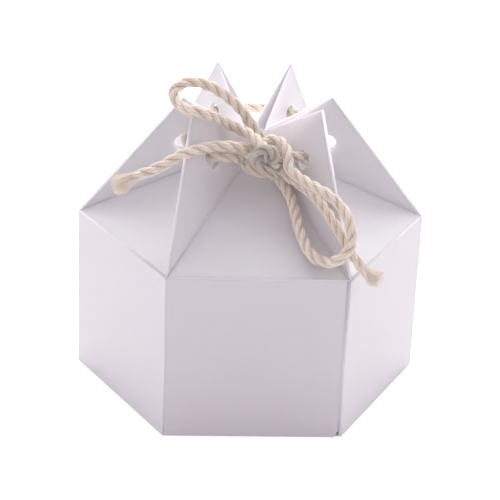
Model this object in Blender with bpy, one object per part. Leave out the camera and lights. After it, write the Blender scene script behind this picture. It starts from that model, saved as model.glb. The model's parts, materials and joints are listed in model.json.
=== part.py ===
"""Hexagonal card gift box with a folded top, tied shut with a twisted cotton cord.

Metres, +Z up, front toward -Y. The origin is the middle of the underside.
Every card panel between two creases is a solid of its own. The front panel's free
edge is the glued seam, at the front right corner.
"""

import math

import bmesh
import bpy
from mathutils import Matrix, Vector

# Card blank: sizes measured flat, from crease to crease
PANEL_WIDTH = 0.0600
WALL_HEIGHT = 0.0593
TOP_EDGE_ABOVE_APEX = 0.0035
CARD = 0.0005
GAP = 0.0003
VALLEY_ANGLE = math.radians(61.4)

# How far each roof triangle leans inward from upright when the top is drawn shut
CLOSED_LEAN = {
    "front": math.radians(59.8),
    "front_right": math.radians(61.5),
    "back_right": math.radians(60.5),
    "back": math.radians(60.5),
    "back_left": math.radians(60.4),
    "front_left": math.radians(61.7),
}

# Play of each half panel beside the ridge crease
RIDGE_CLEARANCE = 0.0003

# Punched holes, one in each half panel of the top
HOLE_RADIUS = 0.0034
HOLE_FROM_RIDGE = 0.0114
HOLE_ABOVE_WALL = 0.0443
HOLE_SIDES = 24
PUNCH_LENGTH = 0.0030

# Glued seam at the front right corner
SEAM_SETBACK = 0.0010
SEAM_CHAMFER_WIDE = 0.0011
SEAM_CHAMFER_HIGH = 0.0022
GLUE_TAB_WIDTH = 0.0100
GLUE_TAB_TAPER = 0.0030

# Base panel, with glued tabs turned up inside five walls
BASE_TAB_HEIGHT = 0.0120
BASE_TAB_TAPER = 0.0060

# Cotton cord, with frayed ends that widen over the tuft's length
CORD_DIAMETER = 0.0038
TUFT_LENGTH = 0.0080
TUFT_SPREAD = 1.45

# Packed middle of the knot, between the wraps, and how far round it the knot is cut clear
KNOT_CORE_RADIUS = 0.0050
KNOT_CORE_PLACE = (0.0035, -0.0195, 0.0890)
KNOT_REACH = 0.0180

# How finely the cord is drawn: least and greatest spacing of the points that are kept
CORD_QUARTER_SIDES = 3
SAMPLES = 12
CORD_BEND = math.radians(24.0)
LEAST_RUN = 0.0021
CORD_STEP = 0.0080
END_RUN = 0.0008
WELD = 0.000001

# Finishes: colour and roughness
WHITE_CARD = ((0.84, 0.81, 0.83), 0.45)
CARD_INSIDE = ((0.86, 0.84, 0.85), 0.60)
COTTON = ((0.78, 0.67, 0.56), 0.90)

# Cord, from the left tail's frayed end to the knot
LEFT_TAIL = [
    (-0.0444, -0.0315, 0.0838),
    (-0.0415, -0.0318, 0.0860),
    (-0.0359, -0.0320, 0.0883),
    (-0.0312, -0.0315, 0.0907),
    (-0.0262, -0.0295, 0.0930),
    (-0.0208, -0.0263, 0.0938),
    (-0.0152, -0.0220, 0.0934),
    (-0.0102, -0.0208, 0.0932),
    (-0.0052, -0.0187, 0.0917),
]
# Over the top of the knot and down its right side
KNOT_OVER = [
    (-0.0016, -0.0156, 0.0899),
    (0.0011, -0.0158, 0.0917),
    (0.0040, -0.0165, 0.0939),
    (0.0070, -0.0183, 0.0942),
    (0.0091, -0.0212, 0.0930),
    (0.0098, -0.0242, 0.0911),
    (0.0099, -0.0261, 0.0890),
]
# Right loop, out and back
RIGHT_LOOP = [
    (0.0109, -0.0280, 0.0875),
    (0.0130, -0.0296, 0.0864),
    (0.0159, -0.0325, 0.0854),
    (0.0194, -0.0362, 0.0849),
    (0.0230, -0.0394, 0.0838),
    (0.0263, -0.0420, 0.0815),
    (0.0285, -0.0455, 0.0792),
    (0.0296, -0.0485, 0.0760),
    (0.0296, -0.0510, 0.0728),
    (0.0282, -0.0530, 0.0700),
    (0.0254, -0.0530, 0.0672),
    (0.0225, -0.0499, 0.0648),
    (0.0194, -0.0486, 0.0650),
    (0.0165, -0.0457, 0.0666),
    (0.0149, -0.0421, 0.0687),
    (0.0136, -0.0380, 0.0711),
    (0.0124, -0.0320, 0.0746),
    (0.0112, -0.0271, 0.0775),
    (0.0091, -0.0229, 0.0799),
]
# Round the underside of the knot
KNOT_BELOW = [
    (0.0068, -0.0196, 0.0821),
    (0.0042, -0.0198, 0.0833),
    (0.0014, -0.0200, 0.0835),
    (-0.0015, -0.0189, 0.0840),
    (-0.0038, -0.0166, 0.0848),
    (-0.0055, -0.0153, 0.0863),
]
# Through the holes of the three left ears
LEFT_RING = [
    (-0.0088, -0.0187, 0.0883),
    (-0.0122, -0.0201, 0.0890),
    (-0.0153, -0.0187, 0.0886),
    (-0.0178, -0.0163, 0.0873),
    (-0.0209, -0.0112, 0.0872),
    (-0.0231, -0.0066, 0.0878),
    (-0.0237, -0.0029, 0.0885),
    (-0.0226, 0.0022, 0.0889),
    (-0.0188, 0.0105, 0.0892),
    (-0.0157, 0.0178, 0.0893),
    (-0.0124, 0.0214, 0.0892),
    (-0.0088, 0.0236, 0.0891),
]
# Across the back
BACK_RING = [
    (-0.0045, 0.0250, 0.0890),
    (0.0000, 0.0255, 0.0889),
    (0.0045, 0.0250, 0.0890),
]
# Through the holes of the three right ears
RIGHT_RING = [
    (0.0088, 0.0234, 0.0891),
    (0.0126, 0.0214, 0.0891),
    (0.0162, 0.0178, 0.0893),
    (0.0193, 0.0105, 0.0892),
    (0.0227, 0.0024, 0.0889),
    (0.0238, -0.0023, 0.0887),
    (0.0230, -0.0067, 0.0882),
    (0.0207, -0.0120, 0.0876),
    (0.0180, -0.0164, 0.0875),
    (0.0154, -0.0189, 0.0887),
    (0.0124, -0.0204, 0.0898),
    (0.0100, -0.0189, 0.0895),
]
# Up the front of the knot
KNOT_FRONT = [
    (0.0086, -0.0198, 0.0892),
    (0.0066, -0.0234, 0.0890),
    (0.0047, -0.0253, 0.0885),
    (0.0032, -0.0251, 0.0897),
    (0.0025, -0.0239, 0.0917),
    (0.0015, -0.0217, 0.0934),
    (-0.0004, -0.0184, 0.0945),
]
# Left loop, out and back
LEFT_LOOP = [
    (-0.0031, -0.0147, 0.0953),
    (-0.0086, -0.0121, 0.0969),
    (-0.0138, -0.0150, 0.1007),
    (-0.0187, -0.0188, 0.1039),
    (-0.0227, -0.0189, 0.1050),
    (-0.0261, -0.0152, 0.1051),
    (-0.0283, -0.0122, 0.1064),
    (-0.0282, -0.0100, 0.1084),
    (-0.0260, -0.0085, 0.1100),
    (-0.0226, -0.0075, 0.1106),
    (-0.0189, -0.0070, 0.1100),
    (-0.0138, -0.0065, 0.1076),
    (-0.0079, -0.0065, 0.1032),
    (-0.0033, -0.0070, 0.0981),
    (-0.0000, -0.0088, 0.0939),
]
# Behind the knot
KNOT_BEHIND = [
    (0.0022, -0.0099, 0.0911),
    (0.0035, -0.0125, 0.0895),
    (0.0049, -0.0157, 0.0878),
    (0.0065, -0.0196, 0.0867),
]
# From the knot to the right tail's frayed end
RIGHT_TAIL = [
    (0.0082, -0.0227, 0.0856),
    (0.0105, -0.0246, 0.0841),
    (0.0131, -0.0264, 0.0828),
    (0.0163, -0.0296, 0.0816),
    (0.0190, -0.0333, 0.0804),
    (0.0214, -0.0369, 0.0784),
    (0.0237, -0.0406, 0.0761),
    (0.0261, -0.0443, 0.0735),
    (0.0280, -0.0470, 0.0709),
    (0.0296, -0.0490, 0.0686),
    (0.0318, -0.0505, 0.0659),
    (0.0347, -0.0510, 0.0621),
    (0.0373, -0.0505, 0.0587),
]
# Nodes that the cord runs through in turn
CORD_ROUTE = [
    ("cord_tail_left", LEFT_TAIL),
    ("cord_knot", KNOT_OVER),
    ("cord_loop_right", RIGHT_LOOP),
    ("cord_knot", KNOT_BELOW),
    ("cord_ring_left", LEFT_RING),
    ("cord_ring_back", BACK_RING),
    ("cord_ring_right", RIGHT_RING),
    ("cord_knot", KNOT_FRONT),
    ("cord_loop_left", LEFT_LOOP),
    ("cord_knot", KNOT_BEHIND),
    ("cord_tail_right", RIGHT_TAIL),
]

# Panels in order round the box, seen from above and anticlockwise
PANELS = ["front", "front_right", "back_right", "back", "back_left", "front_left"]
CORNER_COUNT = 6
FIRST_CORNER_ANGLE = math.radians(240.0)
TURN = math.radians(360.0) / CORNER_COUNT
UP = Vector((0.0, 0.0, 1.0))


def clear_scene():
    """Remove whatever the file holds."""
    for item in list(bpy.data.objects):
        bpy.data.objects.remove(item, do_unlink=True)


def finish_material(name, finish):
    """A plain surface of one colour."""
    colour, roughness = finish
    material = bpy.data.materials.new(name)
    material.use_nodes = True
    shader = material.node_tree.nodes["Principled BSDF"]
    shader.inputs["Base Color"].default_value = (*colour, 1.0)
    shader.inputs["Roughness"].default_value = roughness
    shader.inputs["Metallic"].default_value = 0.0
    return material


# Places and directions


def corner(index, height=0.0):
    """A corner of the hexagon, where two panels meet."""
    angle = FIRST_CORNER_ANGLE + TURN * index
    return Vector((PANEL_WIDTH * math.cos(angle), PANEL_WIDTH * math.sin(angle), height))


def panel_across(index):
    """Direction along a panel, left to right as seen from outside."""
    return (corner(index + 1) - corner(index)).normalized()


def panel_outward(index):
    """Outward direction of a wall."""
    return (corner(index) + corner(index + 1)).normalized()


def roof_up(index):
    """Direction up the slope of a closed roof triangle."""
    lean = CLOSED_LEAN[PANELS[index]]
    return UP * math.cos(lean) - panel_outward(index) * math.sin(lean)


def valley_direction(index, side):
    """Direction of a valley crease, from the wall's corner up to the roof's apex."""
    across = panel_across(index) * (1.0 if side == "left" else -1.0)
    return across * math.cos(VALLEY_ANGLE) + roof_up(index) * math.sin(VALLEY_ANGLE)


def ridge_direction(index):
    """Direction of the ridge at a corner.

    The card keeps the angle between the ridge and the valley crease on each side,
    so the ridge lies where two cones round those creases meet, on the outer side.
    """
    before = valley_direction((index - 1) % CORNER_COUNT, "right")
    after = valley_direction(index % CORNER_COUNT, "left")
    share = math.sin(VALLEY_ANGLE) / (1.0 + before.dot(after))
    middle = (before + after) * share
    normal = before.cross(after).normalized()
    rise = math.sqrt(1.0 - middle.length_squared)
    outward = corner(index).normalized()
    if normal.dot(outward) < 0.0:
        normal.negate()
    return middle + normal * rise


def apex_height():
    """Height up the panel at which its two valley creases meet."""
    return PANEL_WIDTH / 2.0 * math.tan(VALLEY_ANGLE)


def top_height():
    """Height of a panel's free upper edge above the wall, measured flat."""
    return apex_height() + TOP_EDGE_ABOVE_APEX


def half_corner(index, side):
    """Number of the corner that a half panel stands on."""
    return index if side == "left" else (index + 1) % CORNER_COUNT


def half_axes(index, side):
    """Across, up and outward directions of a closed half panel."""
    ridge = ridge_direction(half_corner(index, side))
    valley = valley_direction(index, side)
    across = (valley - ridge * valley.dot(ridge)).normalized()
    if side == "right":
        across.negate()
    return across, ridge, across.cross(ridge)


def roof_axes(index):
    """Across, up and outward directions of a closed roof triangle."""
    across = panel_across(index)
    up = roof_up(index)
    return across, up, across.cross(up)


def valley_fold(index, side):
    """Angle by which a closed half panel is folded out of its roof triangle's plane."""
    roof_normal = roof_axes(index)[2]
    half_normal = half_axes(index, side)[2]
    return roof_normal.angle(half_normal)


# Card plates


def inset_outline(points, insets):
    """Move each edge of an anticlockwise outline inward and return the new corners."""
    count = len(points)
    lines = []
    for i in range(count):
        start = Vector(points[i])
        along = (Vector(points[(i + 1) % count]) - start).normalized()
        inward = Vector((-along.y, along.x))
        lines.append((start + inward * insets[i], along))
    corners = []
    for i in range(count):
        start, along = lines[i - 1]
        other, direction = lines[i]
        cross = along.x * direction.y - along.y * direction.x
        offset = other - start
        distance = (offset.x * direction.y - offset.y * direction.x) / cross
        corners.append(start + along * distance)
    return corners


def place(item, origin, axes):
    """Stand an object at a point with its axes along the given directions."""
    turn = Matrix(axes).transposed().to_4x4()
    item.matrix_world = Matrix.Translation(origin) @ turn


def card_plate(name, outline, inner, outer, origin, axes, material):
    """One flat panel of card, its inner face on the crease plane.

    inner and outer give each edge's inset on the two faces, so that an edge
    can be mitred where the card is folded.
    """
    bottom = inset_outline(outline, inner)
    top = inset_outline(outline, outer)
    mesh = bpy.data.meshes.new(name)
    shape = bmesh.new()
    ring = [shape.verts.new((point.x, point.y, 0.0)) for point in bottom]
    face = shape.faces.new(ring)
    result = bmesh.ops.extrude_face_region(shape, geom=[face])
    raised = [part for part in result["geom"] if isinstance(part, bmesh.types.BMVert)]
    for vertex in raised:
        nearest = min(range(len(bottom)), key=lambda i: (bottom[i] - vertex.co.xy).length)
        vertex.co = Vector((top[nearest].x, top[nearest].y, CARD))
    bmesh.ops.recalc_face_normals(shape, faces=shape.faces)
    shape.to_mesh(mesh)
    shape.free()
    mesh.materials.append(material)
    item = bpy.data.objects.new(name, mesh)
    bpy.context.collection.objects.link(item)
    place(item, origin, axes)
    return item


def punch_hole(item, across, up):
    """Punch a round hole through a plate."""
    mesh = bpy.data.meshes.new(item.name + "_punch")
    shape = bmesh.new()
    bmesh.ops.create_cone(
        shape,
        cap_ends=True,
        segments=HOLE_SIDES,
        radius1=HOLE_RADIUS,
        radius2=HOLE_RADIUS,
        depth=PUNCH_LENGTH,
        matrix=Matrix.Translation((across, up, CARD / 2.0)),
    )
    shape.to_mesh(mesh)
    shape.free()
    punch = bpy.data.objects.new(mesh.name, mesh)
    bpy.context.collection.objects.link(punch)
    punch.parent = item
    punch.hide_render = True
    punch.display_type = "WIRE"
    cut = item.modifiers.new("hole", "BOOLEAN")
    cut.operation = "DIFFERENCE"
    cut.solver = "EXACT"
    cut.object = punch


def mitre(turn, outward_side):
    """Insets on the inner and outer face of an edge where the card turns by an angle.

    A fold that closes on its outer side is cut back there, and a fixed corner
    that opens on its outer side is filled out to the mitre.
    """
    clear = GAP / 2.0 / math.cos(turn / 2.0)
    reach = CARD * math.tan(turn / 2.0)
    if outward_side == "closes":
        return clear, clear + reach
    return clear, clear - reach


def add_wall(index, material):
    """One upright wall."""
    name = PANELS[index]
    corner_edge = mitre(TURN, "opens")
    outline = [
        (0.0, 0.0),
        (PANEL_WIDTH, 0.0),
        (PANEL_WIDTH, WALL_HEIGHT),
        (0.0, WALL_HEIGHT),
    ]
    inner = [0.0, corner_edge[0], GAP / 2.0, corner_edge[0]]
    outer = [0.0, corner_edge[1], GAP / 2.0, corner_edge[1]]
    if name == "front":
        right = PANEL_WIDTH - SEAM_SETBACK
        outline = [
            (0.0, 0.0),
            (right - SEAM_CHAMFER_WIDE, 0.0),
            (right, SEAM_CHAMFER_HIGH),
            (right, WALL_HEIGHT),
            (0.0, WALL_HEIGHT),
        ]
        inner = [0.0, 0.0, 0.0, GAP / 2.0, corner_edge[0]]
        outer = [0.0, 0.0, 0.0, GAP / 2.0, corner_edge[1]]
    axes = (panel_across(index), UP, panel_outward(index))
    return card_plate(name + "_wall", outline, inner, outer, corner(index), axes, material)


def add_wall_glue_tab(material):
    """The strip at the free end of the blank, glued inside the front wall."""
    right = PANEL_WIDTH - GAP - (CARD + GAP) * math.tan(TURN / 2.0) * 2.0
    left = right - GLUE_TAB_WIDTH
    low = CARD + GAP * 2.0
    high = WALL_HEIGHT - GAP * 2.0
    outline = [
        (left, low + GLUE_TAB_TAPER),
        (right, low),
        (right, high),
        (left, high - GLUE_TAB_TAPER),
    ]
    none = [0.0] * len(outline)
    inward = panel_outward(0) * -(CARD + GAP)
    axes = (panel_across(0), UP, panel_outward(0))
    return card_plate("seam_glue_tab", outline, none, none, corner(0) + inward, axes, material)


def add_base_panel(material):
    """The hexagon that closes the bottom, set inside the walls."""
    outline = []
    for i in range(CORNER_COUNT):
        outline.append(corner(i).xy)
    inset = [GAP] * CORNER_COUNT
    axes = (Vector((1.0, 0.0, 0.0)), Vector((0.0, 1.0, 0.0)), UP)
    return card_plate("base_panel", outline, inset, inset, Vector(), axes, material)


def add_base_tab(index, material):
    """A tab turned up from the base and glued inside a wall."""
    name = PANELS[index]
    end = GAP + (CARD + GAP) * math.tan(TURN / 2.0) * 2.0
    left = end
    right = PANEL_WIDTH - end
    if name == "front":
        right = PANEL_WIDTH - end - GLUE_TAB_WIDTH - GAP
    low = CARD + GAP
    outline = [
        (left, low),
        (right, low),
        (right - BASE_TAB_TAPER, low + BASE_TAB_HEIGHT),
        (left + BASE_TAB_TAPER, low + BASE_TAB_HEIGHT),
    ]
    none = [0.0] * len(outline)
    origin = corner(index) - panel_outward(index) * (CARD + GAP)
    axes = (panel_across(index), UP, panel_outward(index))
    return card_plate(name + "_base_tab", outline, none, none, origin, axes, material)


def add_roof(index, material):
    """A roof triangle, hinged on its wall's top crease."""
    outline = [(0.0, 0.0), (PANEL_WIDTH, 0.0), (PANEL_WIDTH / 2.0, apex_height())]
    right = mitre(valley_fold(index, "right"), "closes")
    left = mitre(valley_fold(index, "left"), "closes")
    inner = [GAP / 2.0, right[0], left[0]]
    outer = [GAP / 2.0, right[1], left[1]]
    origin = corner(index, WALL_HEIGHT)
    name = PANELS[index] + "_roof"
    return card_plate(name, outline, inner, outer, origin, roof_axes(index), material)


def half_outline(index, side):
    """Outline of a half panel, as the left one, from its corner.

    Its end by the apex is cut so that the two folded halves of a panel just
    clear each other on the panel's middle line.
    """
    fold = valley_fold(index, side)
    along = Vector((math.cos(VALLEY_ANGLE), math.sin(VALLEY_ANGLE)))
    square = Vector((-along.y, along.x))
    thickness_reach = CARD * math.sin(fold) * math.sin(VALLEY_ANGLE)
    reach = (PANEL_WIDTH / 2.0 - GAP / 2.0 - thickness_reach) / math.cos(VALLEY_ANGLE)
    cut = square + along * math.cos(fold) * math.tan(VALLEY_ANGLE)
    end = along * reach
    top = end + cut * (top_height() - end.y) / cut.y
    return [Vector((0.0, 0.0)), end, top, Vector((0.0, top_height()))]


def add_half(index, side, material):
    """A half panel of the top, hinged on its roof triangle's valley crease."""
    outline = half_outline(index, side)
    valley = mitre(valley_fold(index, side), "closes")
    inner = [valley[0], 0.0, 0.0, RIDGE_CLEARANCE]
    outer = [valley[1], 0.0, 0.0, RIDGE_CLEARANCE]
    hole_across = HOLE_FROM_RIDGE
    if side == "right":
        outline = [Vector((-point.x, point.y)) for point in reversed(outline)]
        inner = [0.0, 0.0, valley[0], RIDGE_CLEARANCE]
        outer = [0.0, 0.0, valley[1], RIDGE_CLEARANCE]
        hole_across = -HOLE_FROM_RIDGE
    origin = corner(half_corner(index, side), WALL_HEIGHT)
    name = PANELS[index] + "_ear_" + side
    item = card_plate(name, outline, inner, outer, origin, half_axes(index, side), material)
    punch_hole(item, hole_across, HOLE_ABOVE_WALL)
    return item


# Cord


def catmull_rom(points, step):
    """Point on the smooth curve between the middle two of four points.

    Each blend mixes two neighbours over the time between the given two knots.
    """
    times = [0.0]
    for i in range(3):
        times.append(times[i] + math.sqrt((points[i + 1] - points[i]).length))
    time = times[1] + (times[2] - times[1]) * step
    blends = (((0, 1), (1, 2), (2, 3)), ((0, 2), (1, 3)), ((1, 2),))
    level = list(points)
    for pairs in blends:
        for i, (start, end) in enumerate(pairs):
            share = (time - times[start]) / (times[end] - times[start])
            level[i] = level[i].lerp(level[i + 1], share)
    return level[0]


def smooth_stretches():
    """Read every stretch of the cord off one smooth curve through the whole route."""
    chosen = [Vector(point) for _, points in CORD_ROUTE for point in points]
    before = chosen[0] * 2.0 - chosen[1]
    after = chosen[-1] * 2.0 - chosen[-2]
    line = [before] + chosen + [after]
    stretches = []
    first = 1
    for name, points in CORD_ROUTE:
        last = min(first + len(points), len(line) - 2)
        dense = []
        for i in range(first, last):
            for k in range(SAMPLES):
                dense.append(catmull_rom(line[i - 1 : i + 3], k / SAMPLES))
        dense.append(line[last])
        stretches.append((name, dense))
        first += len(points)
    return stretches


def trim(points, start, end):
    """Shorten a line of points by a length at each end."""
    for length in (start, end):
        while length > 0.0:
            step = (points[1] - points[0]).length
            if step > length:
                points[0] = points[0].lerp(points[1], length / step)
                break
            length -= step
            del points[0]
        points.reverse()
    return points


def keep_bends(points):
    """Keep a point wherever the line has turned by the set angle or run the set step.

    Each end keeps a short straight run, so that it is square to the line.
    """
    kept = [points[0]]
    heading = points[1] - points[0]
    for i in range(1, len(points) - 1):
        here = points[i]
        direction = points[i + 1] - here
        run = (here - kept[-1]).length
        left = (here - points[-1]).length
        first = len(kept) == 1 and run > END_RUN
        turned = direction.angle(heading) > CORD_BEND and run > LEAST_RUN
        if first or (left > END_RUN + LEAST_RUN and (turned or run > CORD_STEP)):
            kept.append(here)
            heading = direction
    for here in reversed(points):
        if (here - points[-1]).length > END_RUN:
            kept.append(here)
            break
    return kept + [points[-1]]


def cord_tube(name, points, diameter, material, spreads=None):
    """A round tube along a line of points, with filled ends."""
    curve = bpy.data.curves.new(name, "CURVE")
    curve.dimensions = "3D"
    curve.bevel_depth = diameter / 2.0
    curve.bevel_resolution = CORD_QUARTER_SIDES - 1
    curve.use_fill_caps = True
    line = curve.splines.new("POLY")
    line.points.add(len(points) - 1)
    for i, point in enumerate(points):
        line.points[i].co = (*point, 1.0)
        if spreads:
            line.points[i].radius = spreads[i]
    curve.materials.append(material)
    item = bpy.data.objects.new(name, curve)
    bpy.context.collection.objects.link(item)
    return item


def tail_spreads(points, end):
    """Spread of the tube at each point of a tail, widening into the frayed end."""
    spreads = []
    for point in points:
        reach = min((point - end).length / TUFT_LENGTH, 1.0)
        spreads.append(TUFT_SPREAD + (1.0 - TUFT_SPREAD) * reach)
    return spreads


def add_cord_stretch(name, dense, material):
    """One free stretch of the cord."""
    points = keep_bends(trim(list(dense), GAP / 2.0, GAP / 2.0))
    spreads = None
    if name == "cord_tail_left":
        spreads = tail_spreads(points, points[0])
    if name == "cord_tail_right":
        spreads = tail_spreads(points, points[-1])
    return cord_tube(name, points, CORD_DIAMETER, material, spreads)


def mesh_copy(tube):
    """Turn a tube into a mesh object, so that it can join or cut another solid."""
    graph = bpy.context.evaluated_depsgraph_get()
    mesh = bpy.data.meshes.new_from_object(tube.evaluated_get(graph))
    shape = bmesh.new()
    shape.from_mesh(mesh)
    bmesh.ops.remove_doubles(shape, verts=shape.verts, dist=WELD)
    bmesh.ops.recalc_face_normals(shape, faces=shape.faces)
    shape.to_mesh(mesh)
    shape.free()
    name = tube.name
    bpy.data.objects.remove(tube, do_unlink=True)
    item = bpy.data.objects.new(name, mesh)
    bpy.context.collection.objects.link(item)
    return item


def combine(item, tool, operation):
    """Join a tool to a solid, or cut it away."""
    tool.parent = item
    tool.hide_render = True
    tool.display_type = "WIRE"
    step = item.modifiers.new(tool.name, "BOOLEAN")
    step.operation = operation
    step.solver = "EXACT"
    step.use_self = True
    step.object = tool


def add_knot(stretches, material):
    """The knot: its four wraps closed round a soft core, clear of every free stretch."""
    mesh = bpy.data.meshes.new("cord_knot")
    shape = bmesh.new()
    bmesh.ops.create_icosphere(
        shape,
        subdivisions=3,
        radius=KNOT_CORE_RADIUS,
        matrix=Matrix.Translation(KNOT_CORE_PLACE),
    )
    shape.to_mesh(mesh)
    shape.free()
    mesh.materials.append(material)
    knot = bpy.data.objects.new("cord_knot", mesh)
    bpy.context.collection.objects.link(knot)
    for i, (name, dense) in enumerate(stretches):
        if name == "cord_knot":
            points = keep_bends(trim(list(dense), GAP / 2.0, GAP / 2.0))
            wrap = cord_tube(f"knot_wrap_{i}", points, CORD_DIAMETER, material)
            combine(knot, mesh_copy(wrap), "UNION")
    middle = Vector(KNOT_CORE_PLACE)
    for i, (name, dense) in enumerate(stretches):
        near = [point for point in dense if (point - middle).length < KNOT_REACH]
        if name != "cord_knot" and near:
            points = keep_bends(near)
            room = cord_tube(f"knot_room_{i}", points, CORD_DIAMETER + GAP * 2.0, material)
            combine(knot, mesh_copy(room), "DIFFERENCE")
    return knot


def build():
    """Build every piece."""
    clear_scene()
    outside = finish_material("white_card", WHITE_CARD)
    inside = finish_material("card_inside", CARD_INSIDE)
    cotton = finish_material("cotton_cord", COTTON)
    for index in range(CORNER_COUNT):
        add_wall(index, outside)
        add_roof(index, outside)
        add_half(index, "left", outside)
        add_half(index, "right", outside)
    add_wall_glue_tab(inside)
    add_base_panel(outside)
    for index in range(CORNER_COUNT):
        if PANELS[index] != "back":
            add_base_tab(index, inside)
    stretches = smooth_stretches()
    for name, dense in stretches:
        if name != "cord_knot":
            add_cord_stretch(name, dense, cotton)
    add_knot(stretches, cotton)
    bpy.context.view_layer.update()


build()
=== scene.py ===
"""Looks of a hexagonal card gift box tied with a twisted cotton cord.

Metres, +Z up, front toward -Y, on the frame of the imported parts.
"""

import json
import math
import random

import bmesh
import bpy
from bpy.props import FloatProperty, FloatVectorProperty, IntProperty, PointerProperty
from bpy.types import Operator, Panel, PropertyGroup
from mathutils import Matrix, Vector


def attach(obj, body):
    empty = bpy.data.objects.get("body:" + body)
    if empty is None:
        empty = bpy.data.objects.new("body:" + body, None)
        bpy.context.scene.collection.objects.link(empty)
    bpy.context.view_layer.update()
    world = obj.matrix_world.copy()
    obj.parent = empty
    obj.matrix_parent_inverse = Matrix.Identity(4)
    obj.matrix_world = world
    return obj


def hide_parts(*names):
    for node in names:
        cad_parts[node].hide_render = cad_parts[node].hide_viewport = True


bl_info = {
    "name": "Card Gift Box Look",
    "version": (1, 0, 0),
    "blender": (4, 5, 0),
    "location": "View3D > Sidebar > Gift Box",
    "description": "Card finish, crease edges, twisted cord and studio for the gift box",
    "category": "Object",
}

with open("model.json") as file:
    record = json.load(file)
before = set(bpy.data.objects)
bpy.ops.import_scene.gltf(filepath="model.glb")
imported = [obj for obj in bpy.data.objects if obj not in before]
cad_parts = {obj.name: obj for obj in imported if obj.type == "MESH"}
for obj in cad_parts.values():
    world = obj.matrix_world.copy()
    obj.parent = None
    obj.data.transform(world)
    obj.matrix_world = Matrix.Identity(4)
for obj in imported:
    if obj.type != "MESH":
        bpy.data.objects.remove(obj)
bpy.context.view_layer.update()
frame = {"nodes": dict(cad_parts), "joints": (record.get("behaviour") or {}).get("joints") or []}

PANELS = ["front", "front_right", "back_right", "back", "back_left", "front_left"]
CORNER_COUNT = len(PANELS)

# Points of a smooth route between two chosen ones
SAMPLES = 12

# Rings added to a strand's taper, so that its end stays open wide enough to be closed by
# a face, and the share of the diameter within which two of its points become one
TAPER_LEAD = 2.0
WELD_SHARE = 0.001

# Shade painted along the strands, dark in the hollows between them and between the yarns, with
# random tone from the patches and the streaks: what the yarns, the patches and the streaks add
# to the crown's, what is taken off again, and how far the yarns wander, in radians
YARN_SHADE = 0.14
PATCH_SHADE = 0.20
STREAK_SHADE = 0.50
SHADE_DROP = 0.33
YARN_WANDER = 5.0

# Points along a fibre of a frayed end, and how thin its tip gets as a share of its root
TUFT_POINTS = 6
FIBRE_TIP_SHARE = 0.45

# How far a tuft's fibres reach towards their tips, and how much their tips flare
TUFT_REACH = (0.76, 1.06)
TUFT_FLARE = (0.0, 0.8)

# Loose fibres: root's distance from the cord's axis as a share of the diameter, length as
# a share of the longest, and lean along the cord, round it and away from it
FUZZ_ROOT = (0.40, 0.46)
FUZZ_SIZE = (0.4, 1.0)
FUZZ_LEAN_ALONG = (-1.0, 1.0)
FUZZ_LEAN_ROUND = (-0.8, 0.8)
FUZZ_LEAN_OUT = (-0.1, 0.5)

# How much of its lean a loose fibre has in its first and its second half, and how far its
# first half stands off the cord
FUZZ_FIRST_LEAN = 0.5
FUZZ_SECOND_LEAN = 0.8
FUZZ_FIRST_RISE = 0.5

# Seeds of the random draws
LEFT_TUFT_SEED = 3
RIGHT_TUFT_SEED = 5
FUZZ_SEED = 7

# Studio: places and widths of the soft lamps, and the point that they light
LAMP_TARGET = (0.0, 0.0, 0.05)
RIGHT_LAMP_PLACE = (0.86, -0.08, 0.47)
LEFT_LAMP_PLACE = (-0.86, -0.06, 0.50)
BACK_LAMP_PLACE = (0.05, 0.70, 0.85)
SIDE_LAMP_WIDTH = 0.7
BACK_LAMP_WIDTH = 1.0

# Floor's half width and how far it lies under the box, camera's sensor and nearest sight
FLOOR_HALF_WIDTH = 4.0
FLOOR_DROP = 0.0001
SENSOR_WIDTH = 36.0
NEAREST_SIGHT = 0.01

# Cord, from the left tail's frayed end to the knot
LEFT_TAIL = [
    (-0.0444, -0.0315, 0.0838),
    (-0.0415, -0.0318, 0.0860),
    (-0.0359, -0.0320, 0.0883),
    (-0.0312, -0.0315, 0.0907),
    (-0.0262, -0.0295, 0.0930),
    (-0.0208, -0.0263, 0.0938),
    (-0.0152, -0.0220, 0.0934),
    (-0.0102, -0.0208, 0.0932),
    (-0.0052, -0.0187, 0.0917),
]
# Over the top of the knot and down its right side
KNOT_OVER = [
    (-0.0016, -0.0156, 0.0899),
    (0.0011, -0.0158, 0.0917),
    (0.0040, -0.0165, 0.0939),
    (0.0070, -0.0183, 0.0942),
    (0.0091, -0.0212, 0.0930),
    (0.0098, -0.0242, 0.0911),
    (0.0099, -0.0261, 0.0890),
]
# Right loop, out and back
RIGHT_LOOP = [
    (0.0109, -0.0280, 0.0875),
    (0.0130, -0.0296, 0.0864),
    (0.0159, -0.0325, 0.0854),
    (0.0194, -0.0362, 0.0849),
    (0.0230, -0.0394, 0.0838),
    (0.0263, -0.0420, 0.0815),
    (0.0285, -0.0455, 0.0792),
    (0.0296, -0.0485, 0.0760),
    (0.0296, -0.0510, 0.0728),
    (0.0282, -0.0530, 0.0700),
    (0.0254, -0.0530, 0.0672),
    (0.0225, -0.0499, 0.0648),
    (0.0194, -0.0486, 0.0650),
    (0.0165, -0.0457, 0.0666),
    (0.0149, -0.0421, 0.0687),
    (0.0136, -0.0380, 0.0711),
    (0.0124, -0.0320, 0.0746),
    (0.0112, -0.0271, 0.0775),
    (0.0091, -0.0229, 0.0799),
]
# Round the underside of the knot
KNOT_BELOW = [
    (0.0068, -0.0196, 0.0821),
    (0.0042, -0.0198, 0.0833),
    (0.0014, -0.0200, 0.0835),
    (-0.0015, -0.0189, 0.0840),
    (-0.0038, -0.0166, 0.0848),
    (-0.0055, -0.0153, 0.0863),
]
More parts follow.
